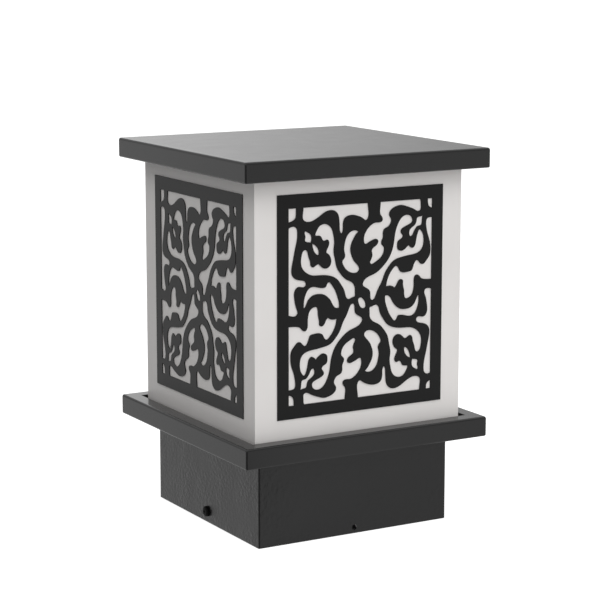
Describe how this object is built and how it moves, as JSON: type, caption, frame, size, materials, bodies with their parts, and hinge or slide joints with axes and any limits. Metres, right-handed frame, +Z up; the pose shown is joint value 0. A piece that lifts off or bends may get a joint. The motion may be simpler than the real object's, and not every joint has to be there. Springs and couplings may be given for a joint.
{
  "type": "pillar light",
  "caption": "Square outdoor post or pillar light: folded black cap and base, opal light box with scrollwork screens on its faces, on a bracket for a pillar top.",
  "frame": {"origin": "middle of the skirt's bottom rim, in the plane that stands on the pillar", "axes": "+Z up, -Y out of the front screen, +X to the right of someone who faces the front; the two skirt screws lie on the X axis"},
  "size_m": [0.1778, 0.1778, 0.2456],
  "materials": {
    "black_powder_coat": "low-sheen black polyester powder coat on folded sheet",
    "screen_coat": "satin black powder coat on laser-cut sheet",
    "opal_acrylic": "opal white extruded acrylic sheet, satin",
    "zinc_plated_steel": "zinc-plated steel",
    "blackened_steel": "blackened steel pan-head screw",
    "seal_rubber": "soft black sealing rubber",
    "holder_thermoset": "moulded white thermoset",
    "brass": "plain brass",
    "lamp_cap_metal": "nickel-plated brass screw cap",
    "lamp_glass": "black moulded insulator",
    "lamp_plastic": "white moulded lamp housing",
    "lamp_opal": "frosted opal lamp cover",
    "board": "aluminium board with white solder mask",
    "phosphor": "yellow phosphor over white light emitters",
    "block_polyamide": "natural polyamide",
    "eyelet_copper": "tinned copper eyelet",
    "live_insulation": "black wire insulation",
    "neutral_insulation": "white wire insulation",
    "earth_insulation": "green wire insulation"
  },
  "bodies": {
    "housing": {"base_skirt": "black_powder_coat", "lower_flange": "black_powder_coat", "base_tray": "black_powder_coat", "cap": "black_powder_coat", "lower_gasket": "seal_rubber", "upper_gasket": "seal_rubber", "lower_frame": "zinc_plated_steel", "upper_frame": "zinc_plated_steel", "tie_rods": "zinc_plated_steel", "rod_washers": "zinc_plated_steel", "rod_nuts": "zinc_plated_steel", "cap_nuts": "zinc_plated_steel", "pillar_bracket": "zinc_plated_steel", "bracket_nuts": "zinc_plated_steel", "skirt_screws": "blackened_steel", "holder_body": "holder_thermoset", "holder_shell": "brass", "holder_contact": "brass", "holder_terminals": "brass", "holder_screws": "zinc_plated_steel", "holder_nuts": "zinc_plated_steel", "terminal_block": "block_polyamide", "terminal_clamps": "brass", "terminal_screws": "zinc_plated_steel", "block_screws": "zinc_plated_steel", "block_nuts": "zinc_plated_steel", "wire_grommet": "seal_rubber", "earth_screw": "zinc_plated_steel", "earth_nut": "zinc_plated_steel", "earth_eyelet": "eyelet_copper", "live_wire": "live_insulation", "neutral_wire": "neutral_insulation", "earth_wire": "earth_insulation", "diffuser_front": "opal_acrylic", "screen_front": "screen_coat", "diffuser_right": "opal_acrylic", "screen_right": "screen_coat", "diffuser_back": "opal_acrylic", "screen_back": "screen_coat", "diffuser_left": "opal_acrylic", "screen_left": "screen_coat"},
    "lamp_tip": {"lamp_contact": "brass"},
    "lamp": {"lamp_insulator": "lamp_glass", "lamp_cap": "lamp_cap_metal", "lamp_housing": "lamp_plastic", "lamp_globe": "lamp_opal", "led_board": "board", "led_chips": "phosphor"}
  },
  "joints": [
    {"name": "lamp_rise", "type": "slide", "parent": "housing", "child": "lamp_tip", "axis": [0, 0, 1], "range_m": [0, 0.0145]},
    {"name": "lamp_turn", "type": "hinge", "parent": "lamp_tip", "child": "lamp", "pos_m": [0, 0, 0.0922], "axis": [0, 0, 1], "range_deg": [0, 1440]}
  ],
  "couplings": [
    {"joint": "lamp_rise", "follows": "lamp_turn", "m_per_rad": 0.00057614}
  ]
}
